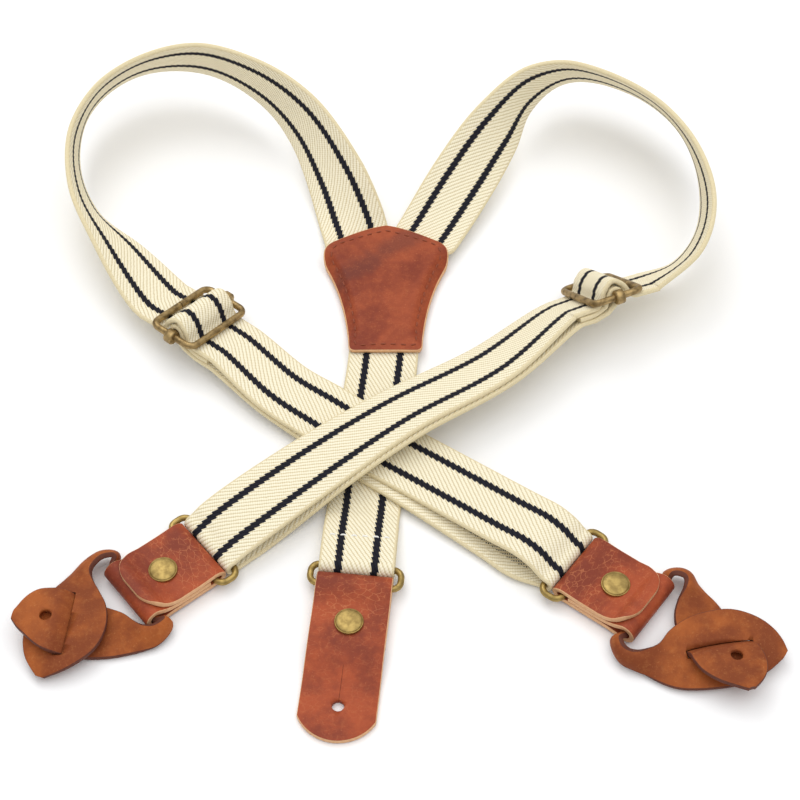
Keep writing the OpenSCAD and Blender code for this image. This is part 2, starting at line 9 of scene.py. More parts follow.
import bpy
import numpy as np
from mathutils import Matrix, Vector


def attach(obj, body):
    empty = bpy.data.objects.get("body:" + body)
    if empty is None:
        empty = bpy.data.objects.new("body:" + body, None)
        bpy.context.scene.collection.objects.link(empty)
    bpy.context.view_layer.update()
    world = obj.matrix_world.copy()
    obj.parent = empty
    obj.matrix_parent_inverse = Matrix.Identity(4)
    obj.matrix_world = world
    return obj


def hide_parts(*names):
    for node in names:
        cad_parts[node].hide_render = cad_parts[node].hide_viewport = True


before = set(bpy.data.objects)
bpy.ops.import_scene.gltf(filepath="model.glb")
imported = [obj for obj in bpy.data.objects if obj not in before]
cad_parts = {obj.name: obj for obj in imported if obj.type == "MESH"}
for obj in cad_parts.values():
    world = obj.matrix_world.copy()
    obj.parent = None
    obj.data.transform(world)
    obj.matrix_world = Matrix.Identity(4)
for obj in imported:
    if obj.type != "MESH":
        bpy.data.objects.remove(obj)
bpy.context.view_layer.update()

MM = 0.001
UP = np.array([0.0, 0.0, 1.0])

# Sizes shared with the CAD, in millimetres
STRAP_W, STRAP_T = 25.0, 1.8
LEATHER_T, PATCH_T = 1.8, 1.4
RING_L, RING_W, RING_WIRE, RING_Z, RING_BEND = 32.0, 9.6, 2.2, 3.9, 2.9
SLIDER_W, SLIDER_L, SLIDER_WIRE = 31.5, 21.0, 2.5
RIVET_X, FLAP_L, EYE_X, EYE_FOLD = 15.8, 28.4, 27.2, 2.9
REAR_RIVET_X, REAR_TAB_L, BUTTONHOLE_X = 18.0, 59.0, 46.8
BUTTONHOLE_R, SLIT_L = 2.0, 14.0
FOLD_X = (RING_W - RING_WIRE) / 2
FOLD_R = RING_WIRE / 2 + 0.1 + STRAP_T / 2
FOLD_REACH = FOLD_R + 1.1
BAR_R = 1.25
WRAP_R = BAR_R + 0.1 + STRAP_T / 2
END_BAR_X = (SLIDER_L - SLIDER_WIRE) / 2
SIDE_WIRE_Y = (SLIDER_W - SLIDER_WIRE) / 2


# ---------------------------------------------------------------- frames and routes

def unit(v):
    return v / np.linalg.norm(v)


def banked_frame(origin, heading, bank):
    """(origin, along, across, normal) of a ring or slider that heads one way and leans to one side."""
    turn, lean = math.radians(heading), math.radians(bank)
    along = np.array([math.cos(turn), math.sin(turn), 0.0])
    left = np.array([-math.sin(turn), math.cos(turn), 0.0])
    across = math.cos(lean) * left - math.sin(lean) * UP
    return np.array(origin, float), along, across, np.cross(along, across)


def place(spot, x, y=0.0, z=0.0):
    origin, along, across, normal = spot
    return origin + x * along + y * across + z * normal


LEFT_RING = banked_frame([-59.8, -117.5, RING_Z], 219, 0)
RIGHT_RING = banked_frame([62.5, -123.5, RING_Z], -37, 0)
REAR_RING = banked_frame([-9.3, -128, RING_Z], -96, 0)
LEFT_BANK, RIGHT_BANK = 12, -36
LEFT_SLIDER = banked_frame([-66.8, -22.5, 10.8], -38, LEFT_BANK)
RIGHT_SLIDER = banked_frame([77.5, -13.5, 15.5], -156, RIGHT_BANK)

# Routes of the single webbing: x, y, z, bank
LEFT_LOOP = [[-8, 8, 2.4, 0], [-10, 18, 2.5, 0], [-11.5, 26, 2.8, 1], [-14, 34, 5.5, 20], [-19.5, 47, 12, 42],
             [-32, 69, 20, 70], [-50, 87, 24, 95], [-73, 97, 26.5, 112], [-96, 93.5, 26, 122],
             [-112.5, 78, 24, 114], [-118.5, 55, 20, 92], [-113, 31, 15.5, 68], [-98.5, 10.5, 12, 38]]
RIGHT_LOOP = [[9, 11, 4.4, 0], [16, 24, 4.6, -2], [29, 46, 11, -24], [42, 67, 17, -52], [55, 84.5, 22, -90],
              [71, 91, 25, -120], [90.5, 84, 25.5, -127], [107.5, 67.5, 25, -121], [117, 44, 23, -103],
              [117.5, 18, 20, -80], [108, -1, 17, -56]]
# Routes of the doubled webbing: x, y, z, bank, drop to the returning layer, its slip to the left
LEFT_FRONT = [[-36, -51, 6.2, 5, 2.4, 0], [-22, -61, 5.2, 0, 2, -0.8], [-9, -70.5, 5.05, 0, 2, -2],
              [16, -87.4, 5.3, 0, 2.2, -3.4], [42, -107, 8.2, 0, 6.1, -3.5], [50.4, -114, 10.2, 0, 8.1, -3.4],
              [55.2, -117.8, 9, 0, 6.9, -2]]
RIGHT_FRONT = [[37, -46, 13, -20, 2.2, 0.6], [5, -66, 12, -14, 2, 1], [-20, -84, 9.9, -4, 2, 1],
               [-45.5, -105.8, 9, 3, 6.8, 0], [-53.4, -112.3, 7.5, 2, 5.5, 0]]
REAR = [[0, -4, 2.4, 0, 0, 0], [-0.8, -34, 2.4, 0, 0, 0], [-2.5, -50, 1.2, 0, 0, 0], [-4, -64, 1.05, 0, 0, 0],
        [-6.3, -90, 1.05, 0, 0, 0], [-7.1, -100, 1.1, 0, 0, 0], [-7.6, -106, 3, 0, 2, 0],
        [-8.4, -116.5, 5.2, 0, 3.5, 0]]
# Through a slider, in its frame: distance along, height above the wires
ARCH = [[-17, -3], [-END_BAR_X, -2.5], [-7.6, -2.35], [-5.5, -0.7], [-3.7, 2.8], [0, 5.3], [3.7, 2.8],
        [5.5, -0.7], [7.6, -2.35], [END_BAR_X, -2.5], [17, -2.6]]
EXIT_DROP = 3.9      # from the arch's end to the returning layer
TAIL_IN = [[END_BAR_X, -6.5], [4, -5.3]]
TAIL_OUT = [[4.6, -3], [END_BAR_X, -4.4], [15, -4.5]]
WRAP_FROM, WRAP_TO = -120, -325      # degrees the tail turns through, round the centre bar
FOLD_ANGLE = 80      # degrees above and below the ring's wire where the fold starts and ends
STEPS = 10           # spline steps between two rows


def spline(rows, steps=STEPS, before=None, after=None):
    """Centripetal Catmull-Rom curve through the rows; the rows before and after only steer its ends."""
    rows = np.array(rows, float)
    first = 2 * rows[0] - rows[1] if before is None else np.array(before, float)
    last = 2 * rows[-1] - rows[-2] if after is None else np.array(after, float)
    rows = np.vstack([first, rows, last])
    out = []
    for a, b, c, d in zip(rows, rows[1:], rows[2:], rows[3:]):
        tb = math.sqrt(np.linalg.norm((b - a)[:3]))
        tc = tb + math.sqrt(np.linalg.norm((c - b)[:3]))
        td = tc + math.sqrt(np.linalg.norm((d - c)[:3]))
        for t in np.linspace(tb, tc, steps, endpoint=False):
            ab = mix(a, b, 0, tb, t)
            bc = mix(b, c, tb, tc, t)
            cd = mix(c, d, tc, td, t)
            out.append(mix(mix(ab, bc, 0, tc, t), mix(bc, cd, tb, td, t), tb, tc, t))
    return np.array(out + [rows[-2]])


def mix(a, b, ta, tb, t):
    return ((tb - t) * a + (t - ta) * b) / (tb - ta)


def distances(points):
    """Distance along a line at each of its points."""
    steps = np.linalg.norm(np.diff(np.array(points), axis=0), axis=1)
    return np.concatenate([[0], np.cumsum(steps)])


def tangents(points):
    return np.array([unit(points[min(i + 1, len(points) - 1)] - points[max(i - 1, 0)])
                     for i in range(len(points))])


def banked_across(along, bank):
    left = unit(np.cross(UP, along))
    lean = math.radians(bank)
    return math.cos(lean) * left - math.sin(lean) * np.cross(along, left)


def stations(rows):
    """[(point, across)] of a route whose rows hold the bank in column 3."""
    return [(row[:3], banked_across(along, row[3])) for row, along in zip(rows, tangents(rows[:, :3]))]


def returning(rows):
    """The same route backwards, one layer lower and slipped to one side."""
    back = []
    for row, along in zip(rows, tangents(rows[:, :3])):
        level = unit(along * (1, 1, 0))
        across = banked_across(level, row[3])
        back.append((row[:3] - row[4] * np.cross(level, across) + row[5] * across, across))
    return back[::-1]


def fold(spot, x, r, start, end, count):
    angles = np.radians(np.linspace(start, end, count))
    return [(place(spot, x + r * math.cos(a), 0, r * math.sin(a)), spot[2]) for a in angles]


def on_spot(spot, points):
    return [(place(spot, p[0], 0, p[1]), spot[2]) for p in points]


def slider_row(slider, point, bank):
    return [*place(slider, point[0], 0, point[1]), bank]


def slider_exit_row(slider, point, bank):
    return slider_row(slider, point, bank) + [EXIT_DROP, 0]


def ring_row(ring, x):
    return [*place(ring, x, 0, FOLD_R), 0, 2 * FOLD_R, 0]


def shoulder_path(loop, slider, bank, front, ring):
    """Patch, shoulder loop, slider, front run, round the ring, and back to the slider's centre bar."""
    shoulder = spline(loop + [slider_row(slider, ARCH[0], bank)], after=slider_row(slider, ARCH[1], bank))
    arch = spline([[x, z, 0] for x, z in ARCH], 6)
    run = spline([slider_exit_row(slider, ARCH[-1], bank)] + front + [ring_row(ring, -FOLD_X)],
                 before=slider_exit_row(slider, ARCH[-2], bank), after=ring_row(ring, FOLD_X))
    tail = spline([[x, z, 0] for x, z in TAIL_OUT], 6)
    return (stations(shoulder)[:-1] + on_spot(slider, arch) + stations(run)[1:]
            + fold(ring, -FOLD_X, FOLD_R, FOLD_ANGLE, -FOLD_ANGLE, 14) + returning(run)
            + on_spot(slider, TAIL_IN) + fold(slider, 0, WRAP_R, WRAP_FROM, WRAP_TO, 20)
            + on_spot(slider, tail))


def rear_path():
    run = spline(REAR + [ring_row(REAR_RING, -FOLD_X)])
    doubled = run[STEPS * (len(REAR) - 2):]
    around = fold(REAR_RING, -FOLD_X, FOLD_R, FOLD_ANGLE, -FOLD_ANGLE, 14)
    return stations(run) + around + returning(doubled)


# ---------------------------------------------------------------- meshes

def mesh_object(name, verts, faces):
    """An object from vertices in millimetres."""
    mesh = bpy.data.meshes.new(name)
    mesh.from_pydata([tuple(float(c) * MM for c in v) for v in verts], [], faces)
    obj = bpy.data.objects.new(name, mesh)
    bpy.context.scene.collection.objects.link(obj)
    return obj


def smooth(obj, angle=40):
    for face in obj.data.polygons:
        face.use_smooth = True
    obj.data.set_sharp_from_angle(angle=math.radians(angle))


def strip_section(t, edge_r, columns):
    """The upper face and the right edge of a section, as (share of the half width, outset, height)."""
    flat = [(s, 0.0, t / 2) for s in np.linspace(-1, 1, columns)]
    right = [(1, edge_r * (math.cos(a) - 1), t / 2 - edge_r * (1 - math.sin(a)))
             for a in np.radians([67, 45, 22, 0])]
    flat = [(s, -edge_r * abs(s) ** 8, z) for s, _, z in flat]
    return flat, right


def strip(name, path, widths, t, edge_r=0.5, columns=9, cups=None, zero=0, turned=1):
    """A strip with rounded edges swept along its stations; cups bulge its section, in mm.

    UV holds the distance along (from the station zero) and across in metres; turned is -1 for webbing
    that lies with its other face up. The face attributes "side" and "back" mark the cut edges and the
    lower face.
    """
    points = np.array([p for p, _ in path])
    acrosses = np.array([unit(a) for _, a in path])
    normals = np.array([unit(np.cross(d, a)) for d, a in zip(tangents(points), acrosses)])
    along = distances(points)
    cups = [0.0] * len(points) if cups is None else cups
    top, edge = strip_section(t, edge_r, columns)
    section = top + edge + [(s, i, -z) for s, i, z in edge[-2::-1]]
    section += [(s, i, -z) for s, i, z in top[::-1]]
    section += [(-s, i, -z) for s, i, z in edge] + [(-s, i, z) for s, i, z in edge[-2::-1]]
    size = len(section)
    verts, uvs = [], []
    for p, a, n, w, u, cup in zip(points, acrosses, normals, widths, along - along[zero], cups):
        for share, inset, height in section:
            y = share * (w / 2 + inset)
            verts.append(p + y * a + (height + cup * (1 - share * share)) * n)
            uvs.append((u * MM, turned * y * MM))
    faces = [(i * size + k, (i + 1) * size + k, (i + 1) * size + (k + 1) % size, i * size + (k + 1) % size)
             for i in range(len(points) - 1) for k in range(size)]
    faces += [tuple(range(size)), tuple(range(len(verts) - 1, len(verts) - size - 1, -1))]
    obj = mesh_object(name, verts, faces)
    mark_faces(obj, uvs, section, size, len(points), t)
    smooth(obj)
    return obj


def mark_faces(obj, uvs, section, size, count, t):
    mesh = obj.data
    layer = mesh.uv_layers.new(name="UVMap")
    for loop in mesh.loops:
        layer.data[loop.index].uv = uvs[loop.vertex_index]
    side, back = np.ones(len(mesh.polygons)), np.zeros(len(mesh.polygons))
    for k in range(size):
        heights = section[k][2], section[(k + 1) % size][2]
        flat = min(abs(h) for h in heights) > t / 2 - 0.05
        side[k:size * (count - 1):size] = 0.0 if flat else 1.0
        back[k:size * (count - 1):size] = 1.0 if sum(heights) < 0 else 0.0
    for name, values in (("side", side), ("back", back)):
        mesh.attributes.new(name, "FLOAT", "FACE").data.foreach_set("value", values)


def tube(name, points, r, closed=False, sides=20, reference=UP):
    """Round wire along points; an open wire gets flat ends."""
    points = np.array(points, float)
    count = len(points)
    verts = []
    for i, p in enumerate(points):
        before = points[i - 1] if closed or i else points[0]
        after = points[(i + 1) % count] if closed or i < count - 1 else points[-1]
        ahead = unit(after - before)
        sideways = unit(np.cross(ahead, reference))
        upward = np.cross(sideways, ahead)
        for a in np.linspace(0, 2 * math.pi, sides, endpoint=False):
            verts.append(p + r * (math.cos(a) * sideways + math.sin(a) * upward))
    faces = []
    for i in range(count if closed else count - 1):
        j = (i + 1) % count
        for k in range(sides):
            m = (k + 1) % sides
            faces.append((i * sides + k, i * sides + m, j * sides + m, j * sides + k))
    if not closed:
        faces += [tuple(range(sides - 1, -1, -1)), tuple(range((count - 1) * sides, count * sides))]
    obj = mesh_object(name, verts, faces)
    smooth(obj, 50)
    return obj


def lathe(name, spot, profile, sides=48):
    """A turned piece: profile is (radius, height) above spot, about its third axis."""
    origin, along, across, axis = spot
    verts, faces = [], []
    for r, h in profile:
        for a in np.linspace(0, 2 * math.pi, sides, endpoint=False):
            verts.append(origin + r * (math.cos(a) * along + math.sin(a) * across) + h * axis)
    for i in range(len(profile) - 1):
        for k in range(sides):
            m = (k + 1) % sides
            faces.append((i * sides + k, i * sides + m, (i + 1) * sides + m, (i + 1) * sides + k))
    faces += [tuple(range(sides - 1, -1, -1)), tuple(range((len(profile) - 1) * sides, len(profile) * sides))]
    obj = mesh_object(name, verts, faces)
    smooth(obj, 35)
    return obj


def join(name, objects):
    bpy.ops.object.select_all(action="DESELECT")
    for obj in objects:
        obj.select_set(True)
    bpy.context.view_layer.objects.active = objects[0]
    bpy.ops.object.join()
    objects[0].name = name
    return objects[0]


def cut(obj, cutter):
    """Takes the cutter out of obj and removes the cutter."""
    modifier = obj.modifiers.new("cut", "BOOLEAN")
    modifier.object = cutter
    modifier.solver = "EXACT"
    bpy.context.view_layer.update()
    cut_mesh = bpy.data.meshes.new_from_object(obj.evaluated_get(bpy.context.evaluated_depsgraph_get()))
    obj.modifiers.clear()
    obj.data = cut_mesh
    bpy.data.objects.remove(cutter)


def arc(x, z, r, start, end, count):
    angles = np.radians(np.linspace(start, end, count))
    return [(x + r * math.cos(a), z + r * math.sin(a)) for a in angles]


def rounded(points, passes=2):
    """Cuts the corners of a side view, so that leather bends softly."""
    for _ in range(passes):
        pairs = list(zip(points, points[1:]))
        middle = [q for a, b in pairs for q in (lerp(a, b, 0.25), lerp(a, b, 0.75))]
        points = [points[0]] + middle[1:-1] + [points[-1]]
    return points


def lerp(a, b, s):
    return tuple(p + s * (q - p) for p, q in zip(a, b))


def dense(points, pitch=0.8):
    """The same line with no gap longer than pitch."""
    out = [points[0]]
    for a, b in zip(points, points[1:]):
        count = max(1, math.ceil(math.dist(a, b) / pitch))
        out += [lerp(a, b, k / count) for k in range(1, count + 1)]
    return out


def rounded_end_width(x, length, width, corner):
    """Width of a strip at x when its end has rounded corners."""
    over = max(0.0, x - (length - corner))
    return width - 2 * corner + 2 * math.sqrt(max(0.0, corner * corner - min(over, corner) ** 2))


# ---------------------------------------------------------------- materials

class Graph:
    """Short hand for building one material's nodes."""

    def __init__(self, name):
        self.material = bpy.data.materials.new(name)
        self.material.use_nodes = True
        self.tree = self.material.node_tree
        self.tree.nodes.clear()

    def add(self, kind, settings=None, **inputs):
        node = self.tree.nodes.new(kind)
        for key, value in (settings or {}).items():
            setattr(node, key, value)
        for key, value in inputs.items():
            self.feed(node.inputs[key.replace("_", " ")], value)
        return node

    def feed(self, socket, value):
        if isinstance(value, bpy.types.NodeSocket):
            self.tree.links.new(value, socket)
        else:
            socket.default_value = value

    def calc(self, operation, *values):
        node = self.tree.nodes.new("ShaderNodeMath")
        node.operation = operation
        for socket, value in zip(node.inputs, values):
            self.feed(socket, value)
        return node.outputs[0]

    def blend(self, factor, a, b):
        node = self.tree.nodes.new("ShaderNodeMix")
        node.data_type = "RGBA"
        self.feed(node.inputs["Factor"], factor)
        self.feed(node.inputs[6], a)
        self.feed(node.inputs[7], b)
        return node.outputs[2]

    def wave(self, value, period):
        """0 to 1 and back in each period."""
        turns = self.calc("MULTIPLY", value, 2 * math.pi / period)
        return self.calc("MULTIPLY_ADD", self.calc("SINE", turns), 0.5, 0.5)

    def step(self, value, low, high):
        node = self.add("ShaderNodeMapRange", {"interpolation_type": "SMOOTHSTEP"}, Value=value)
        node.inputs["From Min"].default_value = low
        node.inputs["From Max"].default_value = high
        return node.outputs["Result"]

    def noise(self, scale, detail=4.0, roughness=0.55, vector=None):
        node = self.add("ShaderNodeTexNoise", Scale=scale, Detail=detail, Roughness=roughness)
        self.tree.links.new(vector or self.place(), node.inputs["Vector"])
        return node.outputs["Fac"]

    def place(self):
        return self.add("ShaderNodeTexCoord").outputs["Object"]

    def attribute(self, name):
        return self.add("ShaderNodeAttribute", {"attribute_name": name}).outputs["Fac"]

    def bump(self, height, distance, strength=1.0, normal=None):
        node = self.add("ShaderNodeBump", Height=height, Distance=distance, Strength=strength)
        if normal is not None:
            self.tree.links.new(normal, node.inputs["Normal"])
        return node.outputs["Normal"]

    def finish(self, **inputs):
        shader = self.add("ShaderNodeBsdfPrincipled", **inputs)
        output = self.tree.nodes.new("ShaderNodeOutputMaterial")
        self.tree.links.new(shader.outputs["BSDF"], output.inputs["Surface"])
        return self.material


def webbing_material():
    """Cream twill with two toothed stripes, dotted on the back, and a plain selvage, with painted light on
    the rib tops and painted shade in the grooves between them.
    """
    rib_pitch, rib_angle, selvage_y = 1.25, math.radians(34), 11.6
    stripe_y, stripe_half, yarn_pitch = 6.0, 1.15, 0.75
    g = Graph("webbing")
    split = g.add("ShaderNodeSeparateXYZ", Vector=g.add("ShaderNodeTexCoord").outputs["UV"])
    along = g.calc("DIVIDE", split.outputs["X"], MM)
    across = g.calc("DIVIDE", split.outputs["Y"], MM)
    away = g.calc("ABSOLUTE", across)
    wander = g.calc("MULTIPLY_ADD", g.noise(700.0, 2.0), 0.5, -0.25)
    sine, cosine = math.sin(rib_angle), math.cos(rib_angle)
    over_ribs = g.calc("MULTIPLY_ADD", along, sine, g.calc("MULTIPLY_ADD", across, cosine, wander))
    rib = g.wave(over_ribs, rib_pitch)
    along_ribs = g.calc("MULTIPLY_ADD", across, sine, g.calc("MULTIPLY", along, -cosine))
    yarn = g.wave(along_ribs, yarn_pitch)
    plain = g.step(away, selvage_y - 0.3, selvage_y + 0.3)
    rib = g.calc("MULTIPLY", rib, g.calc("MULTIPLY_ADD", plain, -0.7, 1.0))
    fibre = g.noise(2600.0, 3.0)
    off_stripe = g.calc("ABSOLUTE", g.calc("SUBTRACT", away, stripe_y))
    tooth = g.calc("MULTIPLY_ADD", rib, 0.6, stripe_half - 0.28)
    solid = g.calc("SUBTRACT", 1.0, g.step(g.calc("SUBTRACT", off_stripe, tooth), -0.05, 0.1))
    dots = g.calc("MULTIPLY", g.step(rib, 0.4, 0.6), g.step(yarn, 0.3, 0.5))
    light_part = g.calc("MULTIPLY", g.attribute("back"), g.calc("SUBTRACT", 1.0, dots))
    mask = g.calc("MULTIPLY", solid, g.calc("SUBTRACT", 1.0, light_part))
    knobs = g.calc("MULTIPLY", g.calc("ADD", fibre, yarn), 0.26)
    # Lighter rib tops and darker grooves: partly the twill's own rib pattern, partly painted light on the
    # tops and painted shade in the grooves, over the bump below
    painted_rib_shade = g.calc("MULTIPLY_ADD", g.step(rib, 0.0, 0.45), 0.62, knobs)
    cream = g.blend(painted_rib_shade, (0.56, 0.45, 0.235, 1), (0.95, 0.885, 0.69, 1))
    dark = g.blend(painted_rib_shade, (0.003, 0.003, 0.006, 1), (0.013, 0.013, 0.021, 1))
    colour = g.blend(mask, cream, dark)
    selvage = g.blend(fibre, (0.60, 0.485, 0.26, 1), (0.90, 0.81, 0.57, 1))
    colour = g.blend(g.attribute("side"), colour, selvage)
    height = g.calc("MULTIPLY_ADD", rib, 0.8, knobs)
    normal = g.bump(height, 0.15 * MM, 0.9)
    return g.finish(Base_Color=colour, Roughness=0.9, Specular_IOR_Level=0.25, Normal=normal)


def leather_material(name, light, deep, pale, edges, gloss, wrinkles, coordinates="UV", smudge=None):
    """Pull-up leather: cloudy colour, fine grain, pale wrinkles where it bends, and cut edges."""
    g = Graph(name)
    clouds = g.noise(60.0, 5.0, 0.6)
    mottle = g.noise(450.0, 6.0, 0.65)
    colour = g.blend(g.step(clouds, 0.36, 0.64), deep, light)
    stain = g.calc("MULTIPLY", g.step(g.noise(110.0, 4.0, 0.6), 0.5, 0.68), 0.4)
    colour = g.blend(stain, colour, deep)
    colour = g.blend(g.calc("MULTIPLY", g.step(mottle, 0.5, 0.8), 0.22), colour, pale)
    if smudge:
        colour = g.blend(dark_band(g, *smudge), colour, (0.14, 0.032, 0.020, 1))
    crease = g.calc("MULTIPLY", crease_lines(g, coordinates), wrinkles)
    if coordinates == "UV":
        split = g.add("ShaderNodeSeparateXYZ", Vector=g.add("ShaderNodeTexCoord").outputs["UV"])
        from_fold = g.step(g.calc("ABSOLUTE", split.outputs["X"]), 6 * MM, 30 * MM)
        crease = g.calc("MULTIPLY", crease, g.calc("MULTIPLY_ADD", from_fold, -0.7, 1.0))
    colour = g.blend(crease, colour, pale)
    speck = g.step(g.noise(1500.0, 2.0), 0.63, 0.74)
    colour = g.blend(g.calc("MULTIPLY", speck, 0.3), colour, pale)
    edge = g.blend(g.noise(900.0), edges[0], edges[1])
    colour = g.blend(g.attribute("side"), colour, edge)
    grain = g.add("ShaderNodeTexVoronoi", {"feature": "SMOOTH_F1"}, Scale=1300.0)
    g.tree.links.new(g.place(), grain.inputs["Vector"])
    height = g.calc("MULTIPLY_ADD", grain.outputs["Distance"], 0.6, g.calc("MULTIPLY", mottle, 0.9))
    height = g.calc("MULTIPLY_ADD", crease, -0.5, height)
    normal = g.bump(height, 0.12 * MM, 0.5)
    rough = g.calc("MULTIPLY_ADD", mottle, 0.25, 0.66 - 0.26 * gloss)
    return g.finish(Base_Color=colour, Roughness=rough, Specular_IOR_Level=0.22, Coat_Weight=0.05 * gloss,
                    Coat_Roughness=0.35, Normal=normal)


def crease_lines(g, coordinates):
    """Short wavy lines, longer across a strap than along it."""
    source = g.add("ShaderNodeTexCoord").outputs[coordinates]
    warp = g.add("ShaderNodeTexNoise", Scale=420.0, Detail=3.0, Vector=source)
    stretch = (1.0, 0.55, 1.0) if coordinates == "UV" else (0.7, 1.0, 1.0)
    long = g.add("ShaderNodeVectorMath", {"operation": "MULTIPLY"})
    g.feed(long.inputs[0], source)
    long.inputs[1].default_value = stretch
    bent = g.add("ShaderNodeVectorMath", {"operation": "MULTIPLY_ADD"})
    g.feed(bent.inputs[0], warp.outputs["Color"])
    bent.inputs[1].default_value = (0.0016, 0.0016, 0.0016)
    g.feed(bent.inputs[2], long.outputs[0])
    cells = g.add("ShaderNodeTexVoronoi", {"feature": "DISTANCE_TO_EDGE"}, Scale=600.0,
                  Vector=bent.outputs[0])
    line = g.calc("SUBTRACT", 1.0, g.step(cells.outputs["Distance"], 0.0, 0.06))
    return g.calc("MULTIPLY", line, g.step(g.noise(240.0, 3.0), 0.42, 0.58))


def dark_band(g, across_x, across_y, offset, half):
    """A worn dark streak over the leather, on both sides of a straight line, in mm."""
    split = g.add("ShaderNodeSeparateXYZ", Vector=g.place())
    away = g.calc("MULTIPLY_ADD", split.outputs["X"], across_x / MM,
                  g.calc("MULTIPLY_ADD", split.outputs["Y"], across_y / MM, -offset))
    away = g.calc("ADD", g.calc("ABSOLUTE", away), g.calc("MULTIPLY_ADD", g.noise(140.0, 4.0), 9.0, -4.5))
    return g.calc("MULTIPLY", g.calc("SUBTRACT", 1.0, g.step(away, 0.2 * half, 1.6 * half)), 0.6)


def brass_material(name, bright, dull):
    """Antique brass: polished high spots, dull brown patina elsewhere, fine scratches."""
    g = Graph(name)
    patina = g.step(g.noise(420.0, 5.0, 0.6), 0.34, 0.70)
    colour = g.blend(patina, bright, dull)
    rough = g.calc("MULTIPLY_ADD", patina, 0.12, 0.42)
    normal = g.bump(g.noise(2400.0, 2.0), 0.03 * MM, 0.4)
    return g.finish(Base_Color=colour, Metallic=1.0, Roughness=rough, Normal=normal)


def thread_material(name, colour):
    g = Graph(name)
    twist = g.noise(4000.0, 2.0)
    return g.finish(Base_Color=colour, Roughness=0.7, Normal=g.bump(twist, 0.05 * MM, 0.6))


PALE_EDGE = (0.58, 0.29, 0.13, 1), (0.82, 0.52, 0.29, 1)
DARK_EDGE = (0.07, 0.018, 0.014, 1), (0.17, 0.055, 0.030, 1)
WEBBING = webbing_material()
PATCH_LEATHER = leather_material("patch leather", (0.355, 0.070, 0.022, 1), (0.215, 0.034, 0.012, 1),
                                 (0.60, 0.19, 0.07, 1), PALE_EDGE, gloss=0.8, wrinkles=0.12,
                                 coordinates="Object", smudge=(-0.61, 0.79, 10.5, 4.0))
TAB_LEATHER = leather_material("tab leather", (0.395, 0.072, 0.021, 1), (0.21, 0.035, 0.014, 1),
                               (0.56, 0.19, 0.075, 1), PALE_EDGE, gloss=0.9, wrinkles=0.6)
LOOP_LEATHER = leather_material("loop leather", (0.385, 0.100, 0.020, 1), (0.215, 0.048, 0.012, 1),
                                (0.58, 0.24, 0.08, 1), DARK_EDGE, gloss=0.35, wrinkles=0.3)
BRASS = brass_material("brass", (0.43, 0.305, 0.105, 1), (0.28, 0.195, 0.068, 1))
DARK_BRASS = brass_material("dark brass", (0.44, 0.31, 0.14, 1), (0.18, 0.122, 0.055, 1))
BROWN_THREAD = thread_material("brown thread", (0.25, 0.052, 0.018, 1))
WHITE_THREAD = thread_material("white thread", (0.88, 0.87, 0.83, 1))


def dress(obj, material, slot, body, *nodes):
    """Gives a finished piece its material and ties it to the frame."""
    obj.data.materials.clear()
    obj.data.materials.append(material)
    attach(obj, body)
    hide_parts(*nodes)
    return obj


# ---------------------------------------------------------------- webbing

LEFT_PATH = shoulder_path(LEFT_LOOP, LEFT_SLIDER, LEFT_BANK, LEFT_FRONT, RIGHT_RING)
RIGHT_PATH = shoulder_path(RIGHT_LOOP, RIGHT_SLIDER, RIGHT_BANK, RIGHT_FRONT, LEFT_RING)
REAR_PATH = rear_path()


def path_length(path):
    return float(distances([p for p, _ in path])[-1])


def strap(side, path, turned):
    """One length of webbing, a little narrower where it is hidden in the patch."""
    along = distances([p for p, _ in path])
    hidden_l, ease_l, hidden_w = (16.0, 9.0, 20.0) if side == "rear" else (4.0, 8.0, 18.0)
    widths = np.interp(along, [0, hidden_l, hidden_l + ease_l], [hidden_w, hidden_w, STRAP_W])
    obj = strip(f"webbing_{side}", path, widths, STRAP_T, edge_r=0.75, columns=13, turned=turned)
    dress(obj, WEBBING, "webbing", "webbing_and_patch", f"strap_{side}")
    path_length(path) * MM
    return obj


strap("left", LEFT_PATH, 1)
strap("right", RIGHT_PATH, 1)
strap("rear", REAR_PATH, -1)


# ---------------------------------------------------------------- patch

PATCH_TILT, PATCH_LIFT = math.radians(2.4), 5.2
STITCH_L, STITCH_D, STITCH_PITCH, STITCH_INSET = 1.6, 0.6, 3.6, 3.0


def curve(a, b, c, count):
    """Quadratic curve from a to c, pulled towards b, without its end point."""
    a, b, c = (np.array(p, float) for p in (a, b, c))
    return [(1 - t) ** 2 * a + 2 * t * (1 - t) * b + t * t * c
            for t in np.linspace(0, 1, count, endpoint=False)]


def patch_outline():
    half = (curve((0, 26), (7, 25), (18.5, 18.6), 14) + curve((18.5, 18.6), (25, 15.5), (22.6, 8.8), 12)
            + curve((22.6, 8.8), (14.4, -8), (13.3, -31), 24)
            + curve((13.3, -31), (13.2, -33.3), (11, -33.3), 10)
            + [np.array((11.0, -33.3)), np.array((5.5, -33.3)), np.array((0.0, -33.3))])
    return half + [np.array((-p[0], p[1])) for p in half[-2:0:-1]]


def inwards(p, distance):
    """The outline point p moved towards the patch's middle."""
    middle = np.array((0.25 * p[0], min(max(p[1], -22.0), 13.0)))
    return p + distance * unit(middle - p)


def ease(value, low, high):
    share = min(max((value - low) / (high - low), 0.0), 1.0)
    return share * share * (3 - 2 * share)


def on_front(x, y, z):
    """Point of the tilted front layer, z above its underside."""
    return np.array((x, y * math.cos(PATCH_TILT) - z * math.sin(PATCH_TILT),
                     PATCH_LIFT + y * math.sin(PATCH_TILT) + z * math.cos(PATCH_TILT)))


def pinched_front(p, distance, z):
    """The front layer comes down to the back layer along its sides, where no strap lies between."""
    at = inwards(p, distance)
    point = on_front(at[0], at[1], z)
    beside_straps = (1 - ease(p[1], 7, 15)) * ease(p[1], -32, -22)
    floor = PATCH_T + 0.1 + z
    point[2] -= beside_straps * (1 - ease(distance, 0, 5)) * (point[2] - floor)
    return point


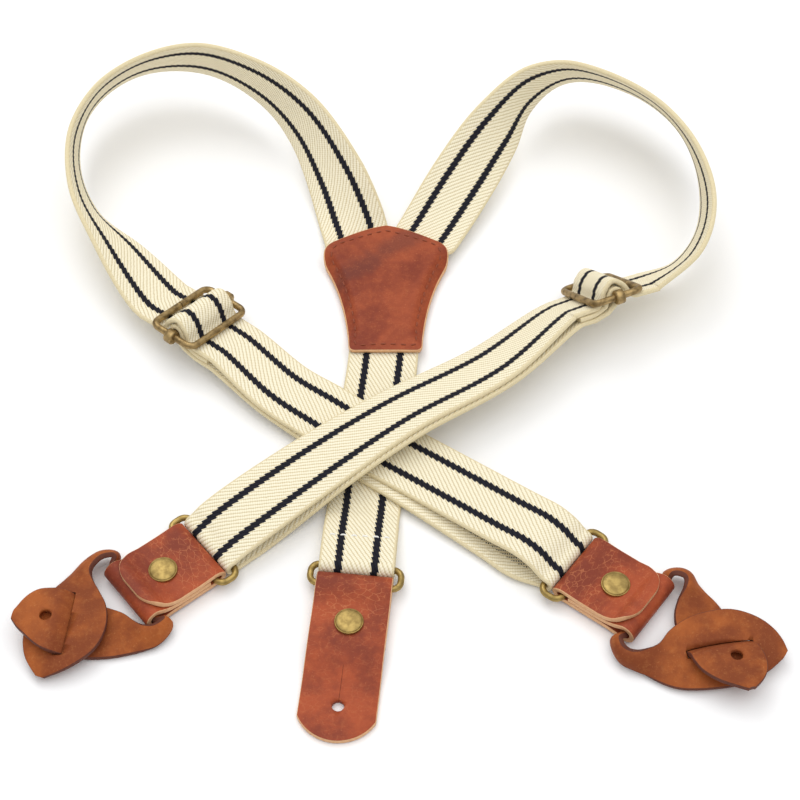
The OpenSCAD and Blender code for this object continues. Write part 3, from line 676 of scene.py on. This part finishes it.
def flat_back(p, distance, z):
    """The back layer, a little shorter than the front one."""
    x, y = inwards(p, distance + 0.4)
    return np.array((x, y * (0.93 if y < 0 else 1.0), z))


def leather_slab(name, lift):
    """A piece in the patch's outline with rounded edges; lift places (outline point, inset, height)."""
    outline = patch_outline()
    rings = [(0.0, 6.0), (0.0, 4.5), (0.0, 3.0), (0.0, 1.5), (0.0, 0.35), (0.12, 0.1), (0.35, 0.0),
             (PATCH_T - 0.55, 0.0), (PATCH_T - 0.25, 0.15), (PATCH_T - 0.07, 0.45), (PATCH_T, 0.9),
             (PATCH_T, 1.6), (PATCH_T, 2.4), (PATCH_T, 3.2), (PATCH_T, 4.2), (PATCH_T, 5.2), (PATCH_T, 6.0)]
    count = len(outline)
    verts = [lift(p, distance, z) for z, distance in rings for p in outline]
    faces = [(i * count + (k + 1) % count, i * count + k, (i + 1) * count + k,
              (i + 1) * count + (k + 1) % count) for i in range(len(rings) - 1) for k in range(count)]
    faces += [tuple(range(count)), tuple(range(len(verts) - 1, len(verts) - count - 1, -1))]
    obj = mesh_object(name, verts, faces)
    side = [1.0 if rings[i // count][1] < 0.2 else 0.0 for i in range(len(faces) - 2)] + [0.0, 0.0]
    obj.data.attributes.new("side", "FLOAT", "FACE").data.foreach_set("value", side)
    smooth(obj, 60)
    return obj


def stitch(start, end, rise):
    """One stitch: thread that comes up, lies on the surface and goes down again."""
    start, end, rise = (np.array(v, float) for v in (start, end, rise))
    shares = np.linspace(0, 1, 9)
    heights = 0.62 * np.sqrt(np.abs(np.sin(math.pi * shares))) - 0.25
    points = [start + (end - start) * share + rise * height for share, height in zip(shares, heights)]
    return tube("stitch", points, STITCH_D / 2, sides=10, reference=rise)


def patch_seam():
    outline = patch_outline()
    line = [pinched_front(p, STITCH_INSET, PATCH_T) for p in outline + outline[:1]]
    lengths = distances(line)
    count = int(lengths[-1] / STITCH_PITCH)
    stitches = []
    for start in np.linspace(0, lengths[-1], count, endpoint=False):
        a, b = (np.array([np.interp(d, lengths, [p[k] for p in line]) for k in range(3)])
                for d in (start, start + STITCH_L))
        stitches.append(stitch(a, b, 0.3 * UP))
    return join("patch_seam", stitches)


dress(leather_slab("patch_back_leather", flat_back), PATCH_LEATHER, "patch leather", "webbing_and_patch",
      "patch_back")
dress(leather_slab("patch_front_leather", pinched_front), PATCH_LEATHER, "patch leather", "webbing_and_patch",
      "patch_front")
dress(patch_seam(), BROWN_THREAD, "brown thread", "webbing_and_patch", "patch_stitching")


# ---------------------------------------------------------------- seams across the webbing

def cross_seam(name, path, distance, face):
    """Stitches across a strap, a distance along it, on its upper (1) or lower (-1) face."""
    points = np.array([p for p, _ in path])
    i = int(np.argmin(abs(distances(points) - distance)))
    across = unit(path[i][1])
    normal = face * unit(np.cross(unit(points[i + 1] - points[i - 1]), across))
    middle = points[i] + STRAP_T / 2 * normal
    count = int(STRAP_W / STITCH_PITCH)
    stitches = []
    for k in range(count):
        at = middle + (k - (count - 1) / 2) * STITCH_PITCH * across
        stitches.append(stitch(at - STITCH_L / 2 * across, at + STITCH_L / 2 * across, 0.6 * normal))
    return join(name, stitches)


REAR_SEAM_FROM_PATCH = 110.0
TAIL_SEAM_FROM_END = 33.0
dress(cross_seam("rear_seam", REAR_PATH, REAR_SEAM_FROM_PATCH, 1), WHITE_THREAD, "white thread",
      "webbing_and_patch", "strap_rear_stitching")
for side, path in (("left", LEFT_PATH), ("right", RIGHT_PATH)):
    dress(cross_seam(f"tail_seam_{side}", path, path_length(path) - TAIL_SEAM_FROM_END, 1), WHITE_THREAD,
          "white thread", "webbing_and_patch", f"strap_{side}_stitching")


# ---------------------------------------------------------------- brass

def wire_rectangle(spot, length, width, wire, bend, opening=0.0):
    """Middle line of a rounded rectangle of wire, from the middle of one long side round to it again."""
    x, y = (width - wire) / 2, (length - wire) / 2
    line = [(x, opening / 2)]
    for cx, cy, start in ((x - bend, y - bend, 0), (bend - x, y - bend, 90), (bend - x, bend - y, 180),
                          (x - bend, bend - y, 270)):
        line += arc(cx, cy, bend, start, start + 90, 10)
    line.append((x, -opening / 2))
    return [place(spot, px, py) for px, py in line]


def ring(side, spot):
    line = wire_rectangle(spot, RING_L, RING_W, RING_WIRE, RING_BEND)[:-1]
    obj = tube(f"ring_wire_{side}", line, RING_WIRE / 2, closed=True, reference=spot[3])
    dress(obj, BRASS, "brass", f"ring_{side}", f"ring_{side}")


def slider(side, spot, joint_side):
    """Frame of bent wire whose ends meet in one end bar, and a centre bar with a collar at each end."""
    bend, joint_gap = 3.0, 0.3
    origin, along, across, normal = spot
    turned = (origin, joint_side * along, joint_side * across, normal)
    line = wire_rectangle(turned, SLIDER_W, SLIDER_L, SLIDER_WIRE, bend, joint_gap)
    wire = tube(f"slider_wire_{side}", line, SLIDER_WIRE / 2, reference=normal)
    dress(wire, DARK_BRASS, "dark brass", f"slider_{side}", f"slider_frame_{side}")
    reach = SIDE_WIRE_Y - SLIDER_WIRE / 2 - 0.3
    bar = tube("bar", [place(spot, 0, -reach), place(spot, 0, reach)], BAR_R, reference=normal)
    collars = [collar(spot, sign) for sign in (-1, 1)]
    whole = join(f"slider_bar_with_collars_{side}", [bar] + collars)
    dress(whole, DARK_BRASS, "dark brass", "webbing_and_patch", f"slider_bar_{side}")


def collar(spot, sign):
    """Loop formed at the end of the centre bar, round a side wire of the frame, thicker outside."""
    bore, outer, half, rim, shift = SLIDER_WIRE / 2 + 0.05, 2.6, 1.7, 0.5, 0.45
    origin, along, across, normal = spot
    centre = place(spot, 0, sign * SIDE_WIRE_Y)
    profile = [(bore, -half), (outer - rim, -half), (outer - 0.15, 0.2 - half), (outer, rim - half),
               (outer, half - rim), (outer - 0.15, half - 0.2), (outer - rim, half), (bore, half)]
    sides = 40
    verts = []
    for r, h in profile:
        moved = sign * shift * (r - bore) / (outer - bore)
        for a in np.linspace(0, 2 * math.pi, sides, endpoint=False):
            verts.append(centre + (r * math.cos(a) + moved) * across + r * math.sin(a) * normal + h * along)
    rows = len(profile)
    faces = [(i * sides + k, ((i + 1) % rows) * sides + k, ((i + 1) % rows) * sides + (k + 1) % sides,
              i * sides + (k + 1) % sides) for i in range(rows) for k in range(sides)]
    obj = mesh_object("collar", verts, faces)
    smooth(obj, 35)
    return obj


def rivet(side, spot, x, top):
    """Domed cap on the leather, and a base with its post below."""
    cap_r, cap_h, base_z, base_h, post_r = 4.75, 1.6, 0.1 - RING_Z, 0.7, 1.6
    cap_spot = (place(spot, x, 0, top), spot[1], spot[2], spot[3])
    shoulder_r, shoulder_h = cap_r - 0.5, 0.95
    dome = [(shoulder_r * math.sin(a), shoulder_h + (cap_h - shoulder_h) * math.cos(a))
            for a in np.radians(range(84, 0, -6))]
    rim = [(cap_r - 0.3, 0.0), (cap_r, 0.15), (cap_r, 0.6), (cap_r - 0.1, 0.86), (cap_r - 0.3, 0.93),
           (cap_r - 0.42, 0.86)]
    obj = lathe(f"rivet_dome_{side}", cap_spot, rim + dome + [(0.02, cap_h)])
    dress(obj, BRASS, "brass", f"tab_{side}", f"rivet_cap_{side}")
    base_spot = (place(spot, x, 0, base_z), spot[1], spot[2], spot[3])
    obj = lathe(f"rivet_post_{side}", base_spot, [(4.2, 0.0), (4.5, 0.2), (4.5, base_h - 0.1), (4.4, base_h),
                                                 (post_r, base_h), (post_r, top - base_z)])
    dress(obj, BRASS, "brass", f"tab_{side}", f"rivet_base_{side}")


# Height of the leather's upper face under each rivet cap, above the ring's plane
FRONT_TOP, REAR_TOP = 2.7, 0.85
for side, spot, rivet_x, top in (("left", LEFT_RING, RIVET_X, FRONT_TOP),
                                 ("right", RIGHT_RING, RIVET_X, FRONT_TOP),
                                 ("rear", REAR_RING, REAR_RIVET_X, REAR_TOP)):
    ring(side, spot)
    rivet(side, spot, rivet_x, top)
slider("left", LEFT_SLIDER, -1)
slider("right", RIGHT_SLIDER, 1)


# ---------------------------------------------------------------- leather tabs

def leather_strip(name, spot, side_view, width_at, zero):
    """Leather bent to a side view [(x, z)]; width_at gives the width at each of its points."""
    path = [(place(spot, x, 0, z), spot[2]) for x, z in side_view]
    widths = [width_at(i, x) for i, (x, z) in enumerate(side_view)]
    return strip(name, path, widths, LEATHER_T, edge_r=0.35, zero=zero)


def loose_fold():
    """Side view of the leather round the ring's wire; it reaches back to the webbing."""
    angles = np.radians(range(100, 261, 10))
    return [(FOLD_X + FOLD_REACH * math.cos(a), FOLD_R * math.sin(a)) for a in angles]


def front_tab(side, spot):
    """One strip: flap, round the ring, underneath, round the button loop, and an end under the flap."""
    tab_w, corner, inner_z = 25.0, 9.0, -0.15
    flap_end = [FLAP_L - corner * (1 - math.sin(a)) for a in np.radians(range(90, 20, -6))]
    flap = [(x, flap_height(x)) for x in flap_end + [18, 15, 12, 9]] + [(FOLD_X, FOLD_R)]
    flap = dense(rounded(flap, 1))
    under = loose_fold() + [(FOLD_X + 1, -FOLD_R), (21, -2.1)] + arc(EYE_X, 0, EYE_FOLD, -90, 105, 18)
    inner = rounded([under[-1], (20.9, inner_z), (5.8, inner_z)])
    side_view = flap + dense(under, 1.2) + dense(inner, 1.2)[1:]
    folds = len(flap)

    def width_at(i, x):
        return rounded_end_width(x, FLAP_L + 0.01, tab_w, corner) if i < folds else tab_w

    obj = leather_strip(f"tab_leather_{side}", spot, side_view, width_at, folds)
    dress(obj, TAB_LEATHER, "patch leather", f"tab_{side}", f"tab_{side}")


def flap_height(x):
    """Height of the flap over the ring wires: flat at the rivet, lifted over the eye."""
    lift = min(max((x - 20.2) / 6.2, 0.0), 1.0)
    return 1.75 + 3.1 * lift * lift * (3 - 2 * lift)


def rear_tab():
    """One long strip with a buttonhole, folded round the ring and held by the rivet."""
    tab_w, end_r, z = 25.0, 14.0, -2.85
    arc_l = end_r - math.sqrt(end_r ** 2 - (tab_w / 2) ** 2)
    end_angles = np.linspace(0.03, math.acos(1 - arc_l / end_r), 16)
    end = [(REAR_TAB_L - end_r * (1 - math.cos(a)), z) for a in end_angles]
    top = rounded([(45, z), (38, -2.8), (26, -0.1), (12, -0.1), (6.5, 1.7), (FOLD_X, FOLD_R)])
    side_view = end + dense(top, 1.5) + loose_fold() + dense([(FOLD_X + 1, -FOLD_R), (25, -FOLD_R)], 2)

    def width_at(i, x):
        past = x - (REAR_TAB_L - end_r)
        arch_w = 2 * math.sqrt(max(0.0, end_r ** 2 - max(0.0, past) ** 2))
        return min(tab_w, arch_w)

    obj = leather_strip("tab_leather_rear", REAR_RING, side_view, width_at, side_view.index((FOLD_X, FOLD_R)))
    below, above, half_slit = -4.5, 2, 0.05
    hole_spot = (place(REAR_RING, BUTTONHOLE_X, 0, below), *REAR_RING[1:])
    cut(obj, lathe("hole", hole_spot, [(BUTTONHOLE_R, 0), (BUTTONHOLE_R, 4)]))
    slit_from, slit_to = BUTTONHOLE_X - SLIT_L, BUTTONHOLE_X - 1
    corners = ((slit_from, -half_slit), (slit_to, -half_slit), (slit_to, half_slit), (slit_from, half_slit))
    slit = [place(REAR_RING, x, y, z) for z in (below, above) for x, y in corners]
    box_faces = [(3, 2, 1, 0), (4, 5, 6, 7), (0, 1, 5, 4), (1, 2, 6, 5), (2, 3, 7, 6), (3, 0, 4, 7)]
    cut(obj, mesh_object("slit", slit, box_faces))
    dress(obj, TAB_LEATHER, "patch leather", "tab_rear", "tab_rear")


front_tab("left", LEFT_RING)
front_tab("right", RIGHT_RING)
rear_tab()


# ---------------------------------------------------------------- button loops

# Rows in the frame of the eye, looking along the strip: left edge x, y, z and right edge x, y, z
LEFT_UPPER = [[1.5, 0, 0, -1.5, 0, 0], [1.5, -8, 0, -1.5, -8, 0], [1.2, -12.6, 1, -1.2, -12.6, -1],
              [-2, -14.6, 3.2, -4.2, -16.6, -1.6], [1, -16.6, 3.4, -1, -20.2, -2.2],
              [5.4, -15.8, 3.2, 6, -20.8, -2.2], [7.4, -14, 3, 11, -19.8, -1.6],
              [8.4, -11, 2.8, 15, -18.6, -0.6], [9.2, -6.2, 2.5, 19, -17.4, 0.6],
              [10.4, -0.6, 2.4, 24, -15.8, 1.3], [15, 6.2, 2.2, 30, -13.2, 1.5],
              [22.5, 10.4, 1.9, 35.4, -10, 0.9], [30.4, 10.4, 1.1, 38.6, -6.2, 0],
              [35.6, 9, 0, 40.4, -1.8, -0.8], [39.6, 7, -1.6, 41, 4.6, -1.8]]
LEFT_LOWER = [[-1.5, 0, 0, 1.5, 0, 0], [-1.5, 8, 0, 1.5, 8, 0], [-1.2, 12.6, -1, 1.2, 12.6, 1],
              [-2.8, 16.4, -1.6, -1, 14.7, 2.9], [0.4, 18.6, -2.2, 2.6, 14.5, 2.4],
              [4.8, 19.4, -2.6, 5, 11.6, 1], [9, 18.2, -2.7, 6, 8, 0], [14, 16, -2.8, 7, 3.4, -0.8],
              [19, 13.4, -2.8, 10, -2.4, -1.6], [24.5, 9.6, -2.5, 13.2, -7, -1.2],
              [29.5, 6, -0.6, 15.4, -10, 0.8], [32.8, 4, 2.6, 17, -12, 3.4],
              [34.9, 2.2, 4.4, 18.6, -13.6, 4.6], [36.3, -1.2, 4.7, 20.6, -15.4, 4.7],
              [37.2, -7, 4.7, 25, -18, 4.7], [37.6, -10.6, 4.7, 29.5, -18, 4.7],
              [37.4, -14, 4.7, 34.4, -16.4, 4.7]]
LEFT_HOLE = (28.2, -7.9)
RIGHT_UPPER = [[1.5, 0, 0, -1.5, 0, 0], [1.5, -8, 0, -1.5, -8, 0], [1.2, -12.6, 1, -1.2, -12.6, -1],
               [0.8, -15.4, 3, -2, -15.8, -1.8], [2.6, -17.2, 3.2, 0.8, -18.6, -2.2],
               [5, -17.6, 3.1, 4.6, -20.5, -2.5], [7.2, -16.4, 2.7, 8.8, -20.2, -2.7],
               [9.4, -13.4, 2.2, 13, -19.5, -2.8], [11.2, -9.2, 1.5, 16.8, -19.2, -2.7],
               [11.4, -3.6, 1.6, 20.8, -18.6, -2.5], [13.5, 3.2, 2, 25.2, -17, -2.3],
               [17.2, 8.6, 2.6, 29.6, -14.2, -1.8], [23.2, 14.2, 3, 34, -10.6, -1.4],
               [31, 16.8, 3, 38.5, -6, -1.2], [37.5, 16.6, 2.6, 42, -0.6, -0.9],
               [42, 15.2, 1.6, 44.2, 5, -0.5], [45, 13.4, 0.6, 45.3, 10, 0]]
RIGHT_LOWER = [[-1.5, 0, 0, 1.5, 0, 0], [-1.5, 8, 0, 1.5, 8, 0], [-1.2, 12.6, -1, 1.2, 12.6, 1],
               [-2, 16, -1.8, 1.4, 14.6, 3.2], [0.8, 18.8, -2, 3.6, 16.2, 3.3],
               [4.6, 19.8, -2.2, 5.6, 15.8, 3.1], [8.6, 18.8, -2.2, 6.8, 13, 2.2],
               [12.6, 17.6, -2.2, 7.2, 9, 0.9], [17, 16.6, -2.4, 8.8, 4.2, 0],
               [21.5, 14.8, -2.7, 12, 0, -0.8], [26, 12.2, -2.8, 15.8, -3.4, -1.6],
               [30.5, 9.8, -2, 18.8, -5.8, -1.2], [34, 8.4, 0.8, 20.8, -7.2, 1.2],
               [36.8, 7.4, 3.8, 22.2, -8.6, 3.9], [39.6, 6, 4.6, 24.2, -10, 4.6],
               [42.6, 3.6, 4.7, 28.5, -11.4, 4.7], [44.6, 0.2, 4.7, 34, -11.2, 4.7],
               [45, -3.2, 4.7, 38.6, -10, 4.7], [44.6, -6.6, 4.7, 43, -8.6, 4.7]]
RIGHT_HOLE = (34.0, -0.6)
LOOP_STEPS = 8


def edge_row(spot, row):
    left = place(spot, EYE_X + row[0], row[1], row[2])
    right = place(spot, EYE_X + row[3], row[4], row[5])
    return [*(left + right) / 2, *(left - right) / 2]


def loop_half(name, spot, rows, extra=0.0):
    """Half of a button loop: rolled where it leaves the eye, slightly domed in the leaf."""
    roll, roll_row, roll_rows = 1.3, 5, 2.2
    dome, leaf_from, leaf_to = 0.5, 6, 10
    swept = spline([edge_row(spot, row) for row in rows], LOOP_STEPS)
    path = [(row[:3], unit(row[3:])) for row in swept]
    widths = [2 * np.linalg.norm(row[3:]) + extra for row in swept]
    place_in_rows = np.arange(len(swept)) / LOOP_STEPS
    cups = roll * np.exp(-((place_in_rows - roll_row) / roll_rows) ** 2)
    cups += [dome * ease(i, leaf_from, leaf_to) for i in place_in_rows]
    return strip(name, path, widths, LEATHER_T + extra, edge_r=0.4, columns=9, cups=cups)


def button_loop(side, spot, upper, lower, hole):
    """One strip through the eye; the lower leaf comes up through the upper leaf's slit."""
    slit_gap, drill_from, drill_l = 0.7, -4, 14
    upper_half = loop_half("upper", spot, upper)
    lower_half = loop_half("lower", spot, lower)
    slit = loop_half("slit", spot, lower, slit_gap)
    cut(upper_half, slit)
    hole_spot = (place(spot, EYE_X + hole[0], hole[1], drill_from), *spot[1:])
    cut(lower_half, lathe("hole", hole_spot, [(BUTTONHOLE_R, 0), (BUTTONHOLE_R, drill_l)]))
    obj = join(f"button_loop_leather_{side}", [upper_half, lower_half])
    dress(obj, LOOP_LEATHER, "loop leather", f"button_loop_{side}", f"button_loop_{side}")


button_loop("left", LEFT_RING, LEFT_UPPER, LEFT_LOWER, LEFT_HOLE)
button_loop("right", RIGHT_RING, RIGHT_UPPER, RIGHT_LOWER, RIGHT_HOLE)


# ---------------------------------------------------------------- table, light and camera

def table():
    bpy.ops.mesh.primitive_plane_add(size=6, location=(0, 0, -0.0001))
    plane = bpy.context.object
    plane.name = "table"
    g = Graph("table")
    plane.data.materials.append(g.finish(Base_Color=(0.97, 0.97, 0.975, 1), Roughness=0.85))


def area_light(name, place_m, target_m, size, power):
    data = bpy.data.lights.new(name, "AREA")
    data.shape = "DISK"
    data.size = size
    data.energy = power
    light = bpy.data.objects.new(name, data)
    light.location = place_m
    aim(light, target_m)
    bpy.context.scene.collection.objects.link(light)


def aim(obj, target_m):
    obj.rotation_euler = (Vector(target_m) - obj.location).to_track_quat("-Z", "Y").to_euler()


def camera():
    data = bpy.data.cameras.new("camera")
    data.lens = 85
    data.sensor_width = 36
    obj = bpy.data.objects.new("camera", data)
    obj.location = (0.0052, -0.4629, 0.5264)
    aim(obj, (0.0052, -0.0517, 0.0))
    bpy.context.scene.collection.objects.link(obj)
    bpy.context.scene.camera = obj


table()
area_light("window", (-0.35, 0.75, 1.15), (0, -0.03, 0), 0.9, 4)
area_light("sky", (0.1, -0.1, 1.6), (0, 0, 0), 2.6, 17)
world = bpy.data.worlds.new("studio")
world.use_nodes = True
world.node_tree.nodes["Background"].inputs["Color"].default_value = (1, 1, 1, 1)
world.node_tree.nodes["Background"].inputs["Strength"].default_value = 0.62
bpy.context.scene.world = world
bpy.context.scene.view_settings.view_transform = "Standard"
camera()
